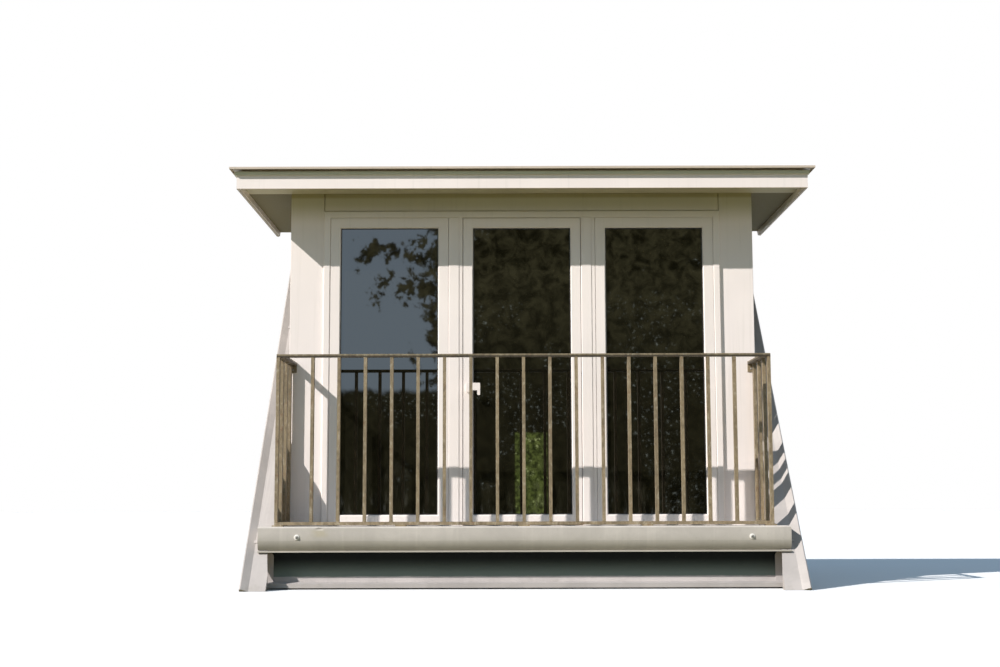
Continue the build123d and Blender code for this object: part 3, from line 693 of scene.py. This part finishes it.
class DORMER_OT_ledge_bolts(PieceOperator, bpy.types.Operator):
    """Socket-head bolts with washers on the face of the ledge"""
    bl_idname = "dormer.ledge_bolts"
    bl_label = "Ledge bolts"

    def make(self, sizes, tones):
        low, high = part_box("ledge_nose")
        r = sizes.washer_radius
        t = sizes.washer_thickness
        washer = [(0.0, t), (r * 0.84, t), (r, t - 0.0015), (r, 0.0), (0.0, 0.0)]
        head = [(0.0, t + 0.0013), (r * 0.27, t + 0.0013), (r * 0.30, t + 0.0070),
                (r * 0.44, t + 0.0060), (r * 0.54, t + 0.0030), (r * 0.58, t), (0.0, t)]
        pieces = {"washer": (washer, "washer_steel"), "bolt": (head, "bolt_steel")}
        for side, x in zip(LEFT_RIGHT, (low[0] + sizes.bolt_inset, high[0] - sizes.bolt_inset)):
            place = Vector((x, low[1] + sizes.washer_sink, high[2] - sizes.bolt_drop))
            for piece, (profile, finish) in pieces.items():
                bm = bmesh.new()
                add_turned(bm, profile, place, FACING_OUT)
                make_piece(f"{side}_ledge_{piece}", bm, finish)


class DORMER_OT_railing_welds(PieceOperator, bpy.types.Operator):
    """Weld seams where the bars meet the handrail and the bottom bar"""
    bl_idname = "dormer.railing_welds"
    bl_label = "Railing welds"

    def make(self, sizes, tones):
        low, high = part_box("railing_front")
        seams = (low[2] + sizes.bottom_bar_top, high[2] - sizes.bar_width - sizes.weld)
        y = (low[1] + high[1]) / 2
        corners = (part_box("left_railing")[0][0] + sizes.bar_width / 2,
                   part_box("right_railing")[1][0] - sizes.bar_width / 2)
        first = -(sizes.bar_count - 1) / 2
        bars = [(first + k) * sizes.bar_spacing for k in range(sizes.bar_count)]
        self.make_welds("front_railing_welds", [(x, y) for x in bars + list(corners)], seams, sizes)
        rows = [sizes.wall_depth - sizes.side_bar_start - k * sizes.side_bar_spacing
                for k in range(sizes.side_bar_count)]
        for side, x in zip(LEFT_RIGHT, corners):
            self.make_welds(side + "_railing_welds", [(x, y) for y in rows], seams, sizes)

    def make_welds(self, name, bars, seams, sizes):
        """A low collar at the foot and at the head of each bar."""
        half_x = sizes.bar_width / 2 + sizes.weld_reach
        half_y = sizes.bar_depth / 2 + sizes.weld_reach
        bm = bmesh.new()
        for x, y in bars:
            for z in seams:
                add_box(bm, (x - half_x, y - half_y, z), (x + half_x, y + half_y, z + sizes.weld),
                        sizes.weld_reach)
        make_piece(name, bm, "railing_steel")


class DORMER_OT_wall_screws(PieceOperator, bpy.types.Operator):
    """Round-headed screws through the railing's wall plates"""
    bl_idname = "dormer.wall_screws"
    bl_label = "Wall plate screws"

    def make(self, sizes, tones):
        for side in LEFT_RIGHT:
            low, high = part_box(side + "_railing")
            place = Vector(((low[0] + high[0]) / 2, high[1] - sizes.plate_thickness,
                            high[2] - sizes.plate_screw_drop))
            bm = bmesh.new()
            add_turned(bm, SCREW_HEAD, place, FACING_OUT, SCREW_STEPS)
            make_piece(side + "_wall_screw", bm, "bolt_steel")


class DORMER_OT_gaskets(PieceOperator, bpy.types.Operator):
    """Rubber gaskets between each pane and its sash, outside and inside"""
    bl_idname = "dormer.gaskets"
    bl_label = "Gaskets"

    def make(self, sizes, tones):
        rebate = sizes.rebate
        for door in DOORS:
            low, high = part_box(door + "_door_glass")
            bm = bmesh.new()
            for y, depth in ((low[1], -sizes.gasket_height), (high[1], sizes.gasket_height)):
                add_frame(bm, (low[0] + rebate, y, low[2] + rebate),
                          (high[0] - rebate, y, high[2] - rebate),
                          sizes.gasket_width, depth, sizes.gasket_round)
            make_piece(door + "_gasket", bm, "gasket_rubber")


class DORMER_OT_cladding(PieceOperator, bpy.types.Operator):
    """Upright boards with open joints on the outside of both cheeks"""
    bl_idname = "dormer.cladding"
    bl_label = "Cheek cladding"

    def make(self, sizes, tones):
        slope = tan(sizes.roof_pitch)
        for side in LEFT_RIGHT:
            node = side + "_cheek_cladding"
            low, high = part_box(node)
            bm = bmesh.new()
            count = round((high[1] - low[1]) / sizes.board_width)
            width = (high[1] - low[1]) / count
            for k in range(count):
                start = low[1] + k * width
                add_box(bm, (low[0], start + sizes.groove / 2, low[2]),
                        (high[0], start + width - sizes.groove / 2, high[2]), sizes.board_round)
            inside = high[0] - sizes.backing if side == "left" else low[0]
            add_box(bm, (inside, low[1], low[2]), (inside + sizes.backing, high[1], high[2]))
            cut_away(bm, Vector((0, low[1], low[2])), Vector((0, slope, -1)))
            make_piece(side + "_cladding_boards", bm, "weathered_board", [node])


class DORMER_OT_roof_laps(PieceOperator, bpy.types.Operator):
    """Glued laps between the lengths of the roof sheet"""
    bl_idname = "dormer.roof_laps"
    bl_label = "Roof sheet laps"

    def make(self, sizes, tones):
        low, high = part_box("roof_sheet")
        width = (high[0] - low[0]) / sizes.sheet_count
        bm = bmesh.new()
        for k in range(1, sizes.sheet_count):
            x = low[0] + k * width
            add_box(bm, (x, low[1] + sizes.lap_from_front, high[2] - sizes.lap_sink),
                    (x + sizes.sheet_lap, high[1] - sizes.lap_from_back, high[2] + sizes.lap_height),
                    sizes.lap_round)
        make_piece("roof_sheet_laps", bm, "roof_rubber")


class DORMER_OT_stage(bpy.types.Operator):
    """Floor, sky, sun and camera"""
    bl_idname = "dormer.stage"
    bl_label = "Stage"
    bl_options = {"REGISTER", "UNDO"}

    def execute(self, context):
        stage = context.scene.dormer_stage
        make_floor(stage)
        make_sky(context.scene, stage)
        make_garden()
        make_sun(context.scene, stage)
        make_camera(context.scene, stage)
        context.scene.view_settings.view_transform = "Standard"
        return {"FINISHED"}


def make_sun(scene, stage):
    lamp = bpy.data.lights.new("sun", "SUN")
    lamp.energy = stage.sun
    lamp.angle = stage.sun_width
    lamp.color = stage.sun_colour
    sun = bpy.data.objects.new("sun", lamp)
    sun.rotation_euler = Vector(stage.sun_direction).to_track_quat("-Z", "Y").to_euler()
    scene.collection.objects.link(sun)


def make_camera(scene, stage):
    """Camera where the photograph was taken."""
    lens = bpy.data.cameras.new("camera")
    lens.sensor_width = CAMERA_SENSOR
    lens.lens = stage.focal_length
    lens.clip_end = CAMERA_REACH
    camera = bpy.data.objects.new("camera", lens)
    turn = view_turn(stage.camera_pitch, stage.camera_turn, stage.camera_roll)
    camera.matrix_world = Matrix.Translation(stage.camera_place) @ turn.to_4x4()
    scene.collection.objects.link(camera)
    scene.camera = camera


def view_turn(pitch, turn, roll):
    """Rotation of a camera that looks along +Y, then up, to the left, and rolled."""
    forward = Vector((-sin(turn) * cos(pitch), cos(turn) * cos(pitch), sin(pitch)))
    level = Vector((cos(turn), sin(turn), 0.0))
    upright = level.cross(forward)
    right = level * cos(roll) + upright * sin(roll)
    up = upright * cos(roll) - level * sin(roll)
    return Matrix((right, up, -forward)).transposed()


def stage_object(name, bm, material):
    """Put a finished bmesh on the stage."""
    thing = new_object(name, bm, material)
    return thing


def make_floor(stage):
    """Pale floor that sends little light up, as planted ground does."""
    bm = bmesh.new()
    bmesh.ops.create_circle(bm, cap_ends=True, radius=FLOOR_RADIUS, segments=96)
    bmesh.ops.translate(bm, vec=(0, 0, -FLOOR_DROP), verts=bm.verts)
    s = new_surface("pale_floor")
    pale, dull = [s.node("ShaderNodeBsdfDiffuse", inputs={"Color": whole_colour(tone)}).outputs[0]
                  for tone in ((0.80, 0.80, 0.80), stage.floor_bounce)]
    stage_object("floor", bm, s.output(s.either(dull, pale, s.seen_directly())))


def make_sky(scene, stage):
    """Light from all sides, strongest from above; plain white where it is seen directly."""
    s = Graph(bpy.data.worlds.new("sky"), "Generated")
    light = s.mix(stage.sky_below, stage.sky_above, s.limit(s.z, 0.0, 0.7))
    soft, white = [s.node("ShaderNodeBackground", inputs={"Color": tone, "Strength": 1.0}).outputs[0]
                   for tone in (light, (1.0, 1.0, 1.0, 1.0))]
    scene.world = s.output(s.either(soft, white, s.seen_directly()), "ShaderNodeOutputWorld")


# What the panes reflect. Colours over 1 are lit by the sun.
GARDEN_SIZE = (30.0, 16.0)
GARDEN_PLACE = (6.0, -25.0, 7.5)
GARDEN_SKY = (1.22, 1.52, 1.82)
SHADED_LEAVES = ((0.020, 0.018, 0.008), (0.110, 0.100, 0.048))
OPEN_LEAVES = ((0.05, 0.045, 0.02), (0.36, 0.33, 0.17))
LEAF_GLINT = (2.2, 2.5, 2.3)
BUSH = ((0.12, 0.17, 0.04), (1.15, 1.45, 0.36))
BUSH_GLINT = (4.2, 4.8, 2.0)
BUSH_EDGES = (0.21, 0.99, 2.18)            # left, right, top
BOUGHS = ((6.55, -3.65), (5.75, -3.30))    # height, and where the tip lies in x
CROWN_EDGE = -1.9
HEDGE_TOP = 3.10


def make_garden():
    """Screen opposite the doors that shows in reflections only."""
    bm = bmesh.new()
    add_upright_sheet(bm, *GARDEN_SIZE, GARDEN_PLACE)
    s = new_surface("garden")
    glow = s.node("ShaderNodeEmission", inputs={"Color": garden_colour(s), "Strength": 1.0})
    screen = stage_object("garden_screen", bm, s.output(glow.outputs[0]))
    screen.visible_camera = False
    screen.visible_diffuse = False
    screen.visible_shadow = False
    screen.visible_transmission = False


def garden_colour(s):
    """Dark growth before a bright sky, with a sunlit gap near the foot."""
    ragged = (s.noise(1.7, 7.0, 0.66, warp=0.5) - 0.5) * 4.0
    leafy = (s.noise(3.3, 6.0, 0.72, warp=0.4) - 0.5) * 2.6
    growth = s.limit(s.x + ragged, CROWN_EDGE, CROWN_EDGE + 0.3)
    for height, tip in BOUGHS:
        bough = 1.0 - s.limit(s.maths("ABSOLUTE", s.z - height) - leafy, 0.16, 0.26)
        bough = bough * s.limit(s.x + leafy * 0.8, tip, tip + 0.2)
        growth = s.maths("MAXIMUM", growth, bough)
    hedge = 1.0 - s.limit(s.z + ragged * 0.12, HEDGE_TOP, HEDGE_TOP + 0.15)
    growth = s.maths("MAXIMUM", growth, hedge)
    mottle = s.limit(s.noise(3.2, 5.0, 0.7, warp=0.6), 0.36, 0.66)
    shaded, lit = [s.mix(dark, pale, mottle) for dark, pale in (SHADED_LEAVES, OPEN_LEAVES)]
    foliage = s.mix(shaded, lit, s.limit(s.z + ragged * 0.5, 2.5, 6.5))
    clusters = s.limit(s.noise(0.9, 2.0, 0.5), 0.49, 0.58)
    glints = s.limit(s.noise(11.0, 4.0, 0.75), 0.58, 0.66) * clusters
    foliage = s.mix(foliage, LEAF_GLINT, glints * 0.8)
    bush = s.mix(*BUSH, s.limit(s.noise(8.0, 4.0, 0.75), 0.42, 0.62))
    bush = s.mix(bush, BUSH_GLINT, s.limit(s.noise(9.5, 3.0, 0.7), 0.60, 0.68))
    left, right, top = BUSH_EDGES
    gap = s.limit(s.x, left, left + 0.01)
    for past, edge in ((s.x, right), (s.z, top)):
        gap = gap * (1.0 - s.limit(past, edge - 0.01, edge))
    return s.mix(GARDEN_SKY, s.mix(foliage, bush, gap), growth)


class DORMER_PT_panel(bpy.types.Panel):
    """The dormer's operators"""
    bl_label = "Dormer"
    bl_idname = "DORMER_PT_panel"
    bl_space_type = "VIEW_3D"
    bl_region_type = "UI"
    bl_category = "Dormer"

    def draw(self, context):
        for operator in OPERATORS:
            self.layout.operator(operator.bl_idname)


GROUPS = {"dormer_finishes": DormerFinishes, "dormer_fittings": DormerFittings,
          "dormer_stage": DormerStage}
OPERATORS = (DORMER_OT_stage, DORMER_OT_finishes, DORMER_OT_ledge_bolts, DORMER_OT_railing_welds,
             DORMER_OT_wall_screws, DORMER_OT_gaskets, DORMER_OT_cladding, DORMER_OT_roof_laps)


def register():
    for group in GROUPS.values():
        bpy.utils.register_class(group)
    for name, group in GROUPS.items():
        setattr(bpy.types.Scene, name, PointerProperty(type=group))
    for entry in OPERATORS + (DORMER_PT_panel,):
        bpy.utils.register_class(entry)


def unregister():
    for entry in reversed(OPERATORS + (DORMER_PT_panel,)):
        bpy.utils.unregister_class(entry)
    for name, group in GROUPS.items():
        delattr(bpy.types.Scene, name)
        bpy.utils.unregister_class(group)


def main():
    register()
    for operator in OPERATORS:
        getattr(bpy.ops.dormer, operator.bl_idname.partition(".")[2])()


if __name__ == "__main__":
    main()
